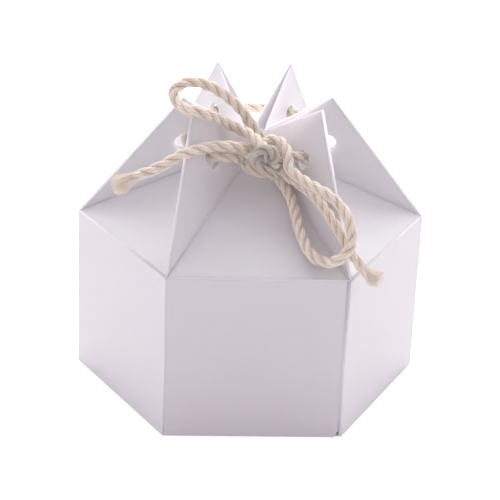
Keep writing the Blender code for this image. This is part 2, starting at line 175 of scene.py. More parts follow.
# Through the holes of the three left ears
LEFT_RING = [
    (-0.0088, -0.0187, 0.0883),
    (-0.0122, -0.0201, 0.0890),
    (-0.0153, -0.0187, 0.0886),
    (-0.0178, -0.0163, 0.0873),
    (-0.0209, -0.0112, 0.0872),
    (-0.0231, -0.0066, 0.0878),
    (-0.0237, -0.0029, 0.0885),
    (-0.0226, 0.0022, 0.0889),
    (-0.0188, 0.0105, 0.0892),
    (-0.0157, 0.0178, 0.0893),
    (-0.0124, 0.0214, 0.0892),
    (-0.0088, 0.0236, 0.0891),
]
# Across the back
BACK_RING = [
    (-0.0045, 0.0250, 0.0890),
    (0.0000, 0.0255, 0.0889),
    (0.0045, 0.0250, 0.0890),
]
# Through the holes of the three right ears
RIGHT_RING = [
    (0.0088, 0.0234, 0.0891),
    (0.0126, 0.0214, 0.0891),
    (0.0162, 0.0178, 0.0893),
    (0.0193, 0.0105, 0.0892),
    (0.0227, 0.0024, 0.0889),
    (0.0238, -0.0023, 0.0887),
    (0.0230, -0.0067, 0.0882),
    (0.0207, -0.0120, 0.0876),
    (0.0180, -0.0164, 0.0875),
    (0.0154, -0.0189, 0.0887),
    (0.0124, -0.0204, 0.0898),
    (0.0100, -0.0189, 0.0895),
]
# Up the front of the knot
KNOT_FRONT = [
    (0.0086, -0.0198, 0.0892),
    (0.0066, -0.0234, 0.0890),
    (0.0047, -0.0253, 0.0885),
    (0.0032, -0.0251, 0.0897),
    (0.0025, -0.0239, 0.0917),
    (0.0015, -0.0217, 0.0934),
    (-0.0004, -0.0184, 0.0945),
]
# Left loop, out and back
LEFT_LOOP = [
    (-0.0031, -0.0147, 0.0953),
    (-0.0086, -0.0121, 0.0969),
    (-0.0138, -0.0150, 0.1007),
    (-0.0187, -0.0188, 0.1039),
    (-0.0227, -0.0189, 0.1050),
    (-0.0261, -0.0152, 0.1051),
    (-0.0283, -0.0122, 0.1064),
    (-0.0282, -0.0100, 0.1084),
    (-0.0260, -0.0085, 0.1100),
    (-0.0226, -0.0075, 0.1106),
    (-0.0189, -0.0070, 0.1100),
    (-0.0138, -0.0065, 0.1076),
    (-0.0079, -0.0065, 0.1032),
    (-0.0033, -0.0070, 0.0981),
    (-0.0000, -0.0088, 0.0939),
]
# Behind the knot
KNOT_BEHIND = [
    (0.0022, -0.0099, 0.0911),
    (0.0035, -0.0125, 0.0895),
    (0.0049, -0.0157, 0.0878),
    (0.0065, -0.0196, 0.0867),
]
# From the knot to the right tail's frayed end
RIGHT_TAIL = [
    (0.0082, -0.0227, 0.0856),
    (0.0105, -0.0246, 0.0841),
    (0.0131, -0.0264, 0.0828),
    (0.0163, -0.0296, 0.0816),
    (0.0190, -0.0333, 0.0804),
    (0.0214, -0.0369, 0.0784),
    (0.0237, -0.0406, 0.0761),
    (0.0261, -0.0443, 0.0735),
    (0.0280, -0.0470, 0.0709),
    (0.0296, -0.0490, 0.0686),
    (0.0318, -0.0505, 0.0659),
    (0.0347, -0.0510, 0.0621),
    (0.0373, -0.0505, 0.0587),
]
CORD_ROUTE = (
    LEFT_TAIL
    + KNOT_OVER
    + RIGHT_LOOP
    + KNOT_BELOW
    + LEFT_RING
    + BACK_RING
    + RIGHT_RING
    + KNOT_FRONT
    + LEFT_LOOP
    + KNOT_BEHIND
    + RIGHT_TAIL
)
CORD_NODES = [
    "cord_tail_left",
    "cord_knot",
    "cord_loop_right",
    "cord_ring_left",
    "cord_ring_back",
    "cord_ring_right",
    "cord_loop_left",
    "cord_tail_right",
]

# The turn that shows on the front of the knot
KNOT_TURN = [
    (0.0084, -0.0178, 0.0899),
    (0.0074, -0.0221, 0.0878),
    (0.0045, -0.0256, 0.0872),
    (0.0011, -0.0271, 0.0879),
    (-0.0008, -0.0265, 0.0901),
    (-0.0003, -0.0255, 0.0928),
    (0.0022, -0.0252, 0.0942),
    (0.0045, -0.0258, 0.0934),
    (0.0053, -0.0261, 0.0914),
    (0.0040, -0.0254, 0.0895),
    (0.0029, -0.0231, 0.0895),
]

# Where the fibres of the two frayed ends reach
LEFT_TUFT = [
    (-0.0480, -0.0318, 0.0862),
    (-0.0488, -0.0312, 0.0836),
    (-0.0478, -0.0320, 0.0806),
    (-0.0460, -0.0312, 0.0794),
    (-0.0430, -0.0318, 0.0808),
]
RIGHT_TUFT = [
    (0.0412, -0.0500, 0.0618),
    (0.0409, -0.0512, 0.0590),
    (0.0392, -0.0508, 0.0564),
    (0.0366, -0.0504, 0.0560),
]


# Settings


class GIFTBOX_PG_card(PropertyGroup):
    """Card and its creases."""

    colour: FloatVectorProperty(
        name="Colour",
        description="Colour of the card's outer face",
        subtype="COLOR",
        size=3,
        default=(0.91, 0.890, 0.905),
    )
    # Painted shade: the walls' copy of the card's colour, darkened to stand for the shade that
    # falls on them
    wall_shaded_colour: FloatVectorProperty(
        name="Wall colour",
        description="Colour of the walls, which let less light through than the top",
        subtype="COLOR",
        size=3,
        default=(0.757, 0.753, 0.755),
    )
    inside_colour: FloatVectorProperty(
        name="Inside colour",
        description="Colour of the card's uncoated tabs",
        subtype="COLOR",
        size=3,
        default=(0.88, 0.86, 0.86),
    )
    roughness: FloatProperty(
        name="Roughness",
        description="How matt the coated face is",
        default=0.5,
        min=0.0,
        max=1.0,
        subtype="FACTOR",
    )
    crease_roughness: FloatProperty(
        name="Crease roughness",
        description="How matt the pressed creases are",
        default=0.6,
        min=0.0,
        max=1.0,
        subtype="FACTOR",
    )
    inside_roughness: FloatProperty(
        name="Inside roughness",
        description="How matt the uncoated tabs are",
        default=0.65,
        min=0.0,
        max=1.0,
        subtype="FACTOR",
    )
    top_through: FloatProperty(
        name="Light through the top",
        description="Share of the light that wanders through the top's panels",
        default=0.85,
        subtype="FACTOR",
    )
    wall_through: FloatProperty(
        name="Light through the walls",
        description="Share of the light that wanders through the walls and tabs",
        default=0.6,
        subtype="FACTOR",
    )
    crease_through: FloatProperty(
        name="Light through the creases",
        description="Share of the light that wanders through the pressed creases",
        default=0.35,
        subtype="FACTOR",
    )
    top_light_depth: FloatProperty(
        name="Depth of light in the top",
        description="How far light wanders in the top's panels and in the creases",
        default=0.0018,
        unit="LENGTH",
    )
    wall_light_depth: FloatProperty(
        name="Depth of light in the walls",
        description="How far light wanders in the walls and tabs",
        default=0.0007,
        unit="LENGTH",
    )
    corner_radius: FloatProperty(
        name="Corner radius",
        description="Round of a crease between two walls",
        default=0.00052,
        unit="LENGTH",
    )
    fold_radius: FloatProperty(
        name="Fold radius",
        description="Round of the creases that open on their outer side",
        default=0.0005,
        unit="LENGTH",
    )
    valley_radius: FloatProperty(
        name="Valley radius",
        description="Round of the creases that close on their outer side",
        default=0.00024,
        unit="LENGTH",
    )
    valley_rise: FloatProperty(
        name="Valley rise",
        description="Height of a valley's round above the line in which the faces meet",
        default=0.00021,
        unit="LENGTH",
    )
    thickness: FloatProperty(
        name="Thickness",
        description="Thickness of the card",
        default=0.0005,
        unit="LENGTH",
    )
    top_height: FloatProperty(
        name="Top height",
        description="Height of the top's panels above the walls, measured flat",
        default=0.0585,
        unit="LENGTH",
    )
    valley_length: FloatProperty(
        name="Valley length",
        description="Length of a valley crease from the wall's corner to the apex",
        default=0.0618,
        unit="LENGTH",
    )
    valley_start: FloatProperty(
        name="Valley start",
        description="Distance from the wall's corner at which a valley crease's round starts",
        default=0.0011,
        unit="LENGTH",
    )
    valley_angle: FloatProperty(
        name="Valley angle",
        description="Angle between a valley crease and the wall's top edge",
        default=math.radians(61.4),
        subtype="ANGLE",
    )
    sides: IntProperty(
        name="Sides",
        description="Sides of a crease's round",
        default=16,
    )
    seam_setback: FloatProperty(
        name="Seam setback",
        description="Distance between the glued seam's cut edge and the corner",
        default=0.0010,
        unit="LENGTH",
    )
    seam_foot: FloatProperty(
        name="Seam foot",
        description="Height at which the glued seam's cut edge starts",
        default=0.0022,
        unit="LENGTH",
    )
    slit_share: FloatProperty(
        name="Slit share",
        description="Round in the seam's slit, as a share of the round of its cut edge",
        default=1.2,
        subtype="FACTOR",
    )


class GIFTBOX_PG_cord(PropertyGroup):
    """Twisted cotton cord."""

    diameter: FloatProperty(
        name="Diameter",
        description="Thickness over the three strands",
        default=0.0038,
        unit="LENGTH",
    )
    length: FloatProperty(
        name="Length",
        description="Length of the whole cord",
        default=0.483,
        unit="LENGTH",
    )
    strand_count: IntProperty(
        name="Strands",
        description="Strands laid round each other",
        default=3,
    )
    strand_share: FloatProperty(
        name="Strand share",
        description="A strand's half width as a share of the cord's half width",
        default=0.51,
        subtype="FACTOR",
    )
    lay: FloatProperty(
        name="Lay",
        description="Length in which a strand turns once round the cord",
        default=0.0138,
        unit="LENGTH",
    )
    yarn_count: IntProperty(
        name="Yarns",
        description="Yarns seen round a strand",
        default=7,
    )
    yarn_lay: FloatProperty(
        name="Yarn lay",
        description="Length in which a yarn turns once round its strand, the other way",
        default=0.0075,
        unit="LENGTH",
    )
    sides: IntProperty(
        name="Sides",
        description="Sides of a strand",
        default=14,
    )
    step: FloatProperty(
        name="Step",
        description="Spacing of the strands' rings",
        default=0.00045,
        unit="LENGTH",
    )
    tuft_start: FloatProperty(
        name="Tuft start",
        description="Length of each end over which the fibres part",
        default=0.0075,
        unit="LENGTH",
    )
    tuft_root: FloatProperty(
        name="Tuft root",
        description="Half width of a frayed end where it starts, as a share of the diameter",
        default=0.42,
        subtype="FACTOR",
    )
    strand_end: FloatProperty(
        name="Strand end",
        description="Length by which the strands stop short of the cord's ends",
        default=0.0022,
        unit="LENGTH",
    )
    taper: FloatProperty(
        name="Taper",
        description="Length over which a strand thins out at its end",
        default=0.0050,
        unit="LENGTH",
    )
    fibre_count: IntProperty(
        name="Fibres",
        description="Fibres in each frayed end",
        default=190,
    )
    fibre_radius: FloatProperty(
        name="Fibre radius",
        description="Half the thickness of a fibre bundle",
        default=0.00011,
        unit="LENGTH",
    )
    fuzz_count: IntProperty(
        name="Fuzz",
        description="Short loose fibres along the cord",
        default=4200,
    )
    fuzz_length: FloatProperty(
        name="Fuzz length",
        description="Length of the longest loose fibre",
        default=0.0016,
        unit="LENGTH",
    )
    fuzz_radius: FloatProperty(
        name="Fuzz radius",
        description="Half the thickness of a loose fibre",
        default=0.000036,
        unit="LENGTH",
    )
    colour: FloatVectorProperty(
        name="Colour",
        description="Colour of the strands' crowns",
        subtype="COLOR",
        size=3,
        default=(0.965, 0.880, 0.755),
    )
    # Painted shade: the colour that stands for the shade deep in the hollows between the strands
    hollow_shade_colour: FloatVectorProperty(
        name="Hollow colour",
        description="Colour deep between the strands",
        subtype="COLOR",
        size=3,
        default=(0.850, 0.695, 0.480),
    )
    light_depth: FloatProperty(
        name="Light depth",
        description="How far light wanders in a strand",
        default=0.0010,
        unit="LENGTH",
    )


class GIFTBOX_PG_stage(PropertyGroup):
    """Studio and camera."""

    target: FloatVectorProperty(
        name="Target",
        description="Point that the camera looks at",
        subtype="TRANSLATION",
        size=3,
        default=(0.0000578, 0.0, 0.0450009),
    )
    distance: FloatProperty(
        name="Distance",
        description="Camera's distance from the target",
        default=0.666574,
        unit="LENGTH",
    )
    azimuth: FloatProperty(
        name="Azimuth",
        description="Camera's turn round the box, from the front",
        default=math.radians(-3.654402),
        subtype="ANGLE",
    )
    elevation: FloatProperty(
        name="Elevation",
        description="Camera's height as an angle",
        default=math.radians(25.500546),
        subtype="ANGLE",
    )
    roll: FloatProperty(
        name="Roll",
        description="Camera's roll",
        default=math.radians(2.469951),
        subtype="ANGLE",
    )
    lens: FloatProperty(
        name="Lens",
        description="Focal length in millimetres",
        default=135.488,
        unit="CAMERA",
    )
    ambient: FloatVectorProperty(
        name="Ambient",
        description="Light of the tent round the box",
        subtype="COLOR",
        size=3,
        default=(0.530, 0.458, 0.536),
    )
    right_power: FloatProperty(
        name="Right lamp",
        description="Power of the soft lamp on the right",
        default=1.80,
        unit="POWER",
    )
    left_power: FloatProperty(
        name="Left lamp",
        description="Power of the soft lamp on the left",
        default=1.80,
        unit="POWER",
    )
    back_power: FloatProperty(
        name="Back lamp",
        description="Power of the soft lamp behind and above",
        default=15.5,
        unit="POWER",
    )
    floor_colour: FloatVectorProperty(
        name="Floor colour",
        description="Colour of the floor",
        subtype="COLOR",
        size=3,
        default=(0.92, 0.92, 0.92),
    )
    floor_lift: FloatProperty(
        name="Floor lift",
        description="Light added to the floor as the camera sees it",
        default=0.40,
    )
    floor_glow: FloatProperty(
        name="Floor glow",
        description="Light that the lit surface under the box gives back all round",
        default=0.09,
    )


class GIFTBOX_PG_settings(PropertyGroup):
    """All settings."""

    card: PointerProperty(type=GIFTBOX_PG_card)
    cord: PointerProperty(type=GIFTBOX_PG_cord)
    stage: PointerProperty(type=GIFTBOX_PG_stage)


# Node helpers


def new_material(name):
    """An empty node material with a Principled shader."""
    material = bpy.data.materials.new(name)
    material.use_nodes = True
    tree = material.node_tree
    return material, tree, tree.nodes["Principled BSDF"]


def math_node(tree, operation, first, second=0.0):
    """A maths node of two inputs, either of them a number or a socket."""
    node = tree.nodes.new("ShaderNodeMath")
    node.operation = operation
    for socket, value in zip(node.inputs, (first, second)):
        if isinstance(value, bpy.types.NodeSocket):
            tree.links.new(value, socket)
        else:
            socket.default_value = value
    return node.outputs["Value"]


def noise(tree, vector, scale, detail):
    """Noise over a vector."""
    node = tree.nodes.new("ShaderNodeTexNoise")
    node.inputs["Scale"].default_value = scale
    node.inputs["Detail"].default_value = detail
    tree.links.new(vector, node.inputs["Vector"])
    return node.outputs["Fac"]


def ramp(tree, value, stops):
    """A colour ramp over a value."""
    node = tree.nodes.new("ShaderNodeValToRGB")
    elements = node.color_ramp.elements
    while len(elements) < len(stops):
        elements.new(0.5)
    for element, (position, colour) in zip(elements, stops):
        element.position = position
        element.color = (*colour, 1.0)
    tree.links.new(value, node.inputs["Fac"])
    return node.outputs["Color"]


def bump(tree, height, distance, strength, below=None):
    """A bump of the given depth, over another bump if there is one."""
    node = tree.nodes.new("ShaderNodeBump")
    node.inputs["Distance"].default_value = distance
    node.inputs["Strength"].default_value = strength
    tree.links.new(height, node.inputs["Height"])
    if below:
        tree.links.new(below, node.inputs["Normal"])
    return node.outputs["Normal"]


def add_share(tree, base, value, share):
    """A value added to a base in the given share."""
    return math_node(tree, "ADD", base, math_node(tree, "MULTIPLY", value, share))


def scaled(colour, factor):
    """A colour made lighter or darker."""
    return tuple(min(part * factor, 1.0) for part in colour)


def mixed(first, second, share):
    """A colour between two, with the given share of the second."""
    return tuple(a * (1.0 - share) + b * share for a, b in zip(first, second))


# Materials


def card_material(name, colour, roughness, through, depth):
    """Pressed white card: faint mottling, fine fibres and a barely uneven face.

    through is the share of its light that wanders through the card, and depth how far.
    """
    material, tree, shader = new_material(name)
    place = tree.nodes.new("ShaderNodeTexCoord").outputs["Object"]
    mottle = noise(tree, place, scale=260.0, detail=6.0)
    stops = [(0.3, scaled(colour, 0.99)), (0.7, scaled(colour, 1.005))]
    tree.links.new(ramp(tree, mottle, stops), shader.inputs["Base Color"])
    waves = noise(tree, place, scale=28.0, detail=1.0)
    uneven = bump(tree, waves, distance=0.0002, strength=0.2)
    fibres = noise(tree, place, scale=2600.0, detail=5.0)
    face = bump(tree, fibres, distance=0.00003, strength=0.35, below=uneven)
    tree.links.new(face, shader.inputs["Normal"])
    spread = 0.12
    patchy = add_share(tree, roughness - spread / 2.0, mottle, spread)
    tree.links.new(patchy, shader.inputs["Roughness"])
    shader.inputs["Specular IOR Level"].default_value = 0.35
    shader.inputs["Subsurface Weight"].default_value = through
    shader.inputs["Subsurface Radius"].default_value = (1.0, 0.9, 0.95)
    shader.inputs["Subsurface Scale"].default_value = depth
    return material


def cord_material(settings):
    """Cotton strands: twisted yarns, fine fibres, and painted shade, warm and dark, in the hollows
    between the strands and between the yarns.
    """
    material, tree, shader = new_material("cotton_strands")
    lay = tree.nodes.new("ShaderNodeUVMap")
    lay.uv_map = "lay"
    parts = tree.nodes.new("ShaderNodeSeparateXYZ")
    tree.links.new(lay.outputs["UV"], parts.inputs["Vector"])
    crests = settings.yarn_count * settings.length / settings.yarn_lay
    along = math_node(tree, "MULTIPLY", parts.outputs["X"], crests)
    turns = math_node(tree, "MULTIPLY", parts.outputs["Y"], float(settings.yarn_count))
    yarn = math_node(tree, "ADD", turns, along)
    place = tree.nodes.new("ShaderNodeTexCoord").outputs["Object"]
    wander = noise(tree, place, scale=320.0, detail=2.0)
    turned = math_node(tree, "MULTIPLY", yarn, math.tau)
    phase = add_share(tree, turned, wander, YARN_WANDER)
    yarns = math_node(tree, "SINE", phase)
    lines = tree.nodes.new("ShaderNodeCombineXYZ")
    tree.links.new(yarn, lines.inputs["X"])
    tree.links.new(math_node(tree, "MULTIPLY", along, 0.3), lines.inputs["Y"])
    streaks = noise(tree, lines.outputs["Vector"], scale=2.6, detail=3.0)
    fibres = noise(tree, place, scale=3800.0, detail=4.0)
    patches = noise(tree, place, scale=130.0, detail=3.0)
    # Painted shade: the crown darkens the hollows between the strands and the yarns darken the
    # grooves between them; the patches and the streaks add random tone
    crown = tree.nodes.new("ShaderNodeAttribute")
    crown.attribute_name = "crown"
    shade = add_share(tree, crown.outputs["Fac"], yarns, YARN_SHADE)
    shade = add_share(tree, shade, patches, PATCH_SHADE)
    shade = add_share(tree, shade, streaks, STREAK_SHADE)
    shade = math_node(tree, "SUBTRACT", shade, SHADE_DROP)
    crest = tuple(settings.colour)
    hollow_shade = tuple(settings.hollow_shade_colour)
    stops = [
        (0.34, hollow_shade),
        (0.60, mixed(crest, hollow_shade, 0.45)),
        (0.82, scaled(crest, 0.93)),
        (1.0, crest),
    ]
    tree.links.new(ramp(tree, shade, stops), shader.inputs["Base Color"])
    rough = bump(tree, fibres, distance=0.00008, strength=0.6)
    drawn = bump(tree, streaks, distance=0.00024, strength=0.8, below=rough)
    laid = bump(tree, yarns, distance=0.00016, strength=0.8, below=drawn)
    tree.links.new(laid, shader.inputs["Normal"])
    finish_cotton(shader, settings.light_depth)
    return material


def fibre_material(settings):
    """Loose cotton fibres of the frayed ends."""
    material, tree, shader = new_material("cotton_fibres")
    place = tree.nodes.new("ShaderNodeTexCoord").outputs["Object"]
    patches = noise(tree, place, scale=420.0, detail=3.0)
    crest = tuple(settings.colour)
    warm = mixed(crest, tuple(settings.hollow_shade_colour), 0.15)
    # Random warm and light patches; the light ones are painted a little lighter than the strands'
    # crowns, painted light that offsets the shade between the fibres
    stops = [(0.3, warm), (0.6, scaled(crest, 1.05))]
    tree.links.new(ramp(tree, patches, stops), shader.inputs["Base Color"])
    fluff = noise(tree, place, scale=5200.0, detail=2.0)
    loose = bump(tree, fluff, distance=0.00004, strength=0.5)
    tree.links.new(loose, shader.inputs["Normal"])
    finish_cotton(shader, 0.0)
    return material


def finish_cotton(shader, depth):
    """Matt cotton, with light inside it to the given depth."""
    shader.inputs["Roughness"].default_value = 0.9
    shader.inputs["Specular IOR Level"].default_value = 0.2
    shader.inputs["Sheen Weight"].default_value = 0.3
    shader.inputs["Subsurface Weight"].default_value = 0.5 if depth else 0.0
    shader.inputs["Subsurface Radius"].default_value = (1.0, 0.9, 0.8)
    shader.inputs["Subsurface Scale"].default_value = depth


def floor_material(settings):
    """Pale floor that keeps a soft shadow and meets the white behind it."""
    material, tree, shader = new_material("pale_floor")
    place = tree.nodes.new("ShaderNodeTexCoord").outputs["Object"]
    colour = tuple(settings.floor_colour)
    grain = noise(tree, place, scale=900.0, detail=3.0)
    stops = [(0.4, scaled(colour, 0.995)), (0.6, scaled(colour, 1.005))]
    tree.links.new(ramp(tree, grain, stops), shader.inputs["Base Color"])
    shader.inputs["Roughness"].default_value = 0.8
    shader.inputs["Specular IOR Level"].default_value = 0.1
    seen = tree.nodes.new("ShaderNodeLightPath").outputs["Is Camera Ray"]
    lift = add_share(tree, settings.floor_glow, seen, settings.floor_lift)
    shader.inputs["Emission Color"].default_value = (1.0, 1.0, 1.0, 1.0)
    tree.links.new(lift, shader.inputs["Emission Strength"])
    return material


# Card


def put_material(item, material):
    """Give every slot of a part the same material."""
    for slot in item.material_slots:
        slot.material = material


def finish_card(settings):
    """Card on the top; on the walls the same card a little denser, its colour painted darker as
    shade; and plain board on the glued tabs.
    """
    top = card_material(
        "white_card_face",
        tuple(settings.colour),
        settings.roughness,
        settings.top_through,
        settings.top_light_depth,
    )
    # The walls' card, its colour painted darker as shade
    wall = card_material(
        "white_card_wall",
        tuple(settings.wall_shaded_colour),
        settings.roughness,
        settings.wall_through,
        settings.wall_light_depth,
    )
    board = card_material(
        "card_board",
        tuple(settings.inside_colour),
        settings.inside_roughness,
        settings.wall_through,
        settings.wall_light_depth,
    )
    for name, item in frame["nodes"].items():
        if name in CORD_NODES:
            continue
        if name.endswith("_tab"):
            put_material(item, board)
        elif name.endswith("_wall"):
            put_material(item, wall)
        else:
            put_material(item, top)


def joint_line(child):
    """Point and direction of the crease that a body turns on."""
    for joint in frame["joints"]:
        if joint["child"] == child:
            return Vector(joint["pos_m"]), Vector(joint["axis"])
    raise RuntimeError(f"no joint carries {child}")


def ridge_direction(corner, before, after, settings):
    """Direction of the ridge at a corner, at one angle to both valley creases."""
    share = math.sin(settings.valley_angle)
    middle = (before + after) * (share / (1.0 + before.dot(after)))
    normal = before.cross(after).normalized()
    if normal.dot(corner) < 0.0:
        normal.negate()
    return middle + normal * math.sqrt(1.0 - middle.length_squared)


def add_round(shape, start, end, radius, sides):
    """A round rod with closed ends from one point to another."""
    along = end - start
    turn = along.to_track_quat("Z", "Y").to_matrix().to_4x4()
    bmesh.ops.create_cone(
        shape,
        cap_ends=True,
        segments=sides,
        radius1=radius,
        radius2=radius,
        depth=along.length,
        matrix=Matrix.Translation((start + end) / 2.0) @ turn,
    )


def finish_piece(name, shape, material, body):
    """Turn a shape into a smooth piece that rides on a body."""
    mesh = bpy.data.meshes.new(name)
    shape.to_mesh(mesh)
    shape.free()
    for face in mesh.polygons:
        face.use_smooth = len(face.vertices) == 4
    mesh.materials.append(material)
    item = bpy.data.objects.new(name, mesh)
    bpy.context.collection.objects.link(item)
    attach(item, body)
    return item


def add_wall_creases(settings, material):
    """The upright creases between the walls and the creases along their tops."""
    shape = bmesh.new()
    for i, panel in enumerate(PANELS):
        corner = joint_line(panel + "_roof_flap")[0]
        foot = Vector((corner.x, corner.y, settings.corner_radius))
        add_round(shape, foot, corner, settings.corner_radius, settings.sides)
        following = joint_line(PANELS[(i + 1) % CORNER_COUNT] + "_roof_flap")[0]
        add_round(shape, corner, following, settings.fold_radius, settings.sides)
    finish_piece("wall_creases", shape, material, "box")


def add_seam_edge(settings, material):
    """The round cut edge of the front wall and the round in the slit beside it."""
    across = joint_line("front_roof_flap")[1]
    right = joint_line("front_right_roof_flap")[0]
    outward = across.cross(Vector((0.0, 0.0, 1.0)))
    radius = settings.thickness / 2.0
    top = right - across * settings.seam_setback + outward * radius
    foot = Vector((top.x, top.y, settings.seam_foot))
    shape = bmesh.new()
    add_round(shape, foot, top, radius, settings.sides)
    slit = across * settings.seam_setback / 2.0 - outward * radius
    add_round(shape, foot + slit, top + slit, radius * settings.slit_share, settings.sides)
    finish_piece("seam_edge", shape, material, "box")


def add_valley(shape, corner, valley, roof, half, settings):
    """The round at the bottom of the groove between a roof panel and an ear half.

    roof and half are the outward directions of the two panels.
    """
    slant = roof.angle(half) / 2.0
    meeting = settings.thickness / math.cos(slant)
    depth = meeting - settings.valley_radius + settings.valley_rise
    line = corner + (roof + half).normalized() * depth
    start = line + valley * settings.valley_start
    end = line + valley * settings.valley_length
    add_round(shape, start, end, settings.valley_radius, settings.sides)


def add_top_creases(settings, material):
    """The valley creases of each panel and the ridge creases of the ears."""
    lefts = [joint_line(panel + "_ear_half_left") for panel in PANELS]
    rights = [joint_line(panel + "_ear_half_right") for panel in PANELS]
    ridges = []
    for i, (corner, after) in enumerate(lefts):
        before = rights[i - 1][1]
        ridges.append(ridge_direction(corner, before, after, settings))
    for i, panel in enumerate(PANELS):
        left_corner, left = lefts[i]
        right_corner, right = rights[i]
        following = ridges[(i + 1) % CORNER_COUNT]
        roof = left.cross(right).normalized()
        left_half = left.cross(ridges[i]).normalized()
        right_half = following.cross(right).normalized()
        shape = bmesh.new()
        add_valley(shape, left_corner, left, roof, left_half, settings)
        add_valley(shape, right_corner, right, roof, right_half, settings)
        finish_piece(panel + "_valleys", shape, material, panel + "_roof_flap")
        shape = bmesh.new()
        tip = left_corner + ridges[i] * settings.top_height
        add_round(shape, left_corner, tip, settings.fold_radius, settings.sides)
        finish_piece(panel + "_ridge", shape, material, panel + "_ear_half_left")


# Cord


def smooth_point(points, step):
    """Point on the smooth curve between the middle two of four points.

    The points' times lie apart by the root of their distance, and each blend mixes two
    neighbours over the time between the two of its pair.
    """
    times = [0.0]
    for i in range(len(points) - 1):
        times.append(times[i] + math.sqrt((points[i + 1] - points[i]).length))
    time = times[1] + (times[2] - times[1]) * step
    blends = (((0, 1), (1, 2), (2, 3)), ((0, 2), (1, 3)), ((1, 2),))
    level = list(points)
    for pairs in blends:
        for i, (start, end) in enumerate(pairs):
            share = (time - times[start]) / (times[end] - times[start])
            level[i] = level[i].lerp(level[i + 1], share)
    return level[0]


def smooth_route(points, samples):
    """Points close together on one smooth curve through the given points."""
    chosen = [Vector(point) for point in points]
    line = [chosen[0] * 2.0 - chosen[1]] + chosen + [chosen[-1] * 2.0 - chosen[-2]]
    dense = []
    for i in range(1, len(line) - 2):
        for k in range(samples):
            dense.append(smooth_point(line[i - 1 : i + 3], k / samples))
    dense.append(chosen[-1])
    return dense


def even_points(dense, step):
    """Points at even spacing along a line."""
    kept = [dense[0]]
    carry = 0.0
    for before, after in zip(dense, dense[1:]):
        run = (after - before).length
        place = step - carry
        while place <= run:
            kept.append(before.lerp(after, place / run))
            place += step
        carry = run - (place - step)
    return kept


def trim_ends(points, step, length):
    """Leave out a length at each end of evenly spaced points."""
    count = round(length / step)
    return points[count : len(points) - count]


def line_frames(points):
    """Frames along a line that turn as little as they can."""
    frames = []
    tangent = (points[1] - points[0]).normalized()
    side = tangent.orthogonal().normalized()
    for i, point in enumerate(points):
        ahead = points[min(i + 1, len(points) - 1)]
        behind = points[max(i - 1, 0)]
        heading = (ahead - behind).normalized()
        side = tangent.rotation_difference(heading) @ side
        side = (side - heading * side.dot(heading)).normalized()
        tangent = heading
        frames.append((point, heading, side, heading.cross(side)))
    return frames


def strand_places(frames, settings, index):
    """Centre of a strand and its direction away from the cord's axis, ring by ring."""
    offset = settings.diameter / 2.0 * (1.0 - settings.strand_share)
    places = []
    for i, (point, _, side, other) in enumerate(frames):
        turn = i * settings.step / settings.lay + index / settings.strand_count
        out = side * math.cos(turn * math.tau) + other * math.sin(turn * math.tau)
        places.append((point + out * offset, out))
    return places


def add_strand(shape, places, settings):
    """Wrap a grid round a strand's places and close its ends."""
    rows = len(places) - 1
    full = settings.diameter / 2.0 * settings.strand_share
    taper = settings.taper / settings.step
    crown = shape.verts.layers.float["crown"]
    grid = bmesh.ops.create_grid(
        shape,
        x_segments=rows,
        y_segments=settings.sides,
        size=1.0,
        calc_uvs=True,
    )["verts"]
    sections = []
    for i, (centre, out) in enumerate(places):
        ahead = places[min(i + 1, rows)][0]
        behind = places[max(i - 1, 0)][0]
        across = (ahead - behind).cross(out).normalized()
        sections.append((centre, out, across))
    for vertex in grid:
        row = round((vertex.co.x + 1.0) / 2.0 * rows)
        turn = (vertex.co.y + 1.0) / 2.0 * math.tau
        centre, out, across = sections[row]
        from_end = min(row, rows - row) + TAPER_LEAD
        radius = full * math.sqrt(min(from_end / taper, 1.0))
        vertex.co = centre + (out * math.cos(turn) + across * math.sin(turn)) * radius
        # How far the point faces out from the cord's axis; the cord's material paints shade into
        # the hollows where this is low
        vertex[crown] = (math.cos(turn) + 1.0) / 2.0
    bmesh.ops.remove_doubles(shape, verts=grid, dist=settings.diameter * WELD_SHARE)


def add_strands(name, points, settings, material):
    """Strands laid round each other along a line of evenly spaced points."""
    frames = line_frames(points)
    shape = bmesh.new()
    shape.loops.layers.uv.new("lay")
    shape.verts.layers.float.new("crown")
    for index in range(settings.strand_count):
        add_strand(shape, strand_places(frames, settings, index), settings)
    ends = [edge for edge in shape.edges if edge.is_boundary]
    bmesh.ops.holes_fill(shape, edges=ends, sides=settings.sides)
    bmesh.ops.recalc_face_normals(shape, faces=shape.faces)
    return finish_piece(name, shape, material, "tie")


def add_fibres(name, lines, radius, material):
    """Thin fibres along the given lines, each thinner towards its tip."""
    curve = bpy.data.curves.new(name, "CURVE")
    curve.dimensions = "3D"
    curve.bevel_depth = radius
    curve.bevel_resolution = 0
    curve.use_fill_caps = True
    for places in lines:
        line = curve.splines.new("POLY")
        line.points.add(len(places) - 1)
        for j, place in enumerate(places):
            line.points[j].co = (*place, 1.0)
            share = j / (len(places) - 1)
            line.points[j].radius = 1.0 - (1.0 - FIBRE_TIP_SHARE) * share
    drawn = bpy.data.objects.new(name, curve)
    bpy.context.collection.objects.link(drawn)
    graph = bpy.context.evaluated_depsgraph_get()
    mesh = bpy.data.meshes.new_from_object(drawn.evaluated_get(graph))
    bpy.data.objects.remove(drawn, do_unlink=True)
    bpy.data.curves.remove(curve)
    mesh.materials.clear()
    mesh.materials.append(material)
    item = bpy.data.objects.new(name, mesh)
    bpy.context.collection.objects.link(item)
    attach(item, "tie")
    return item


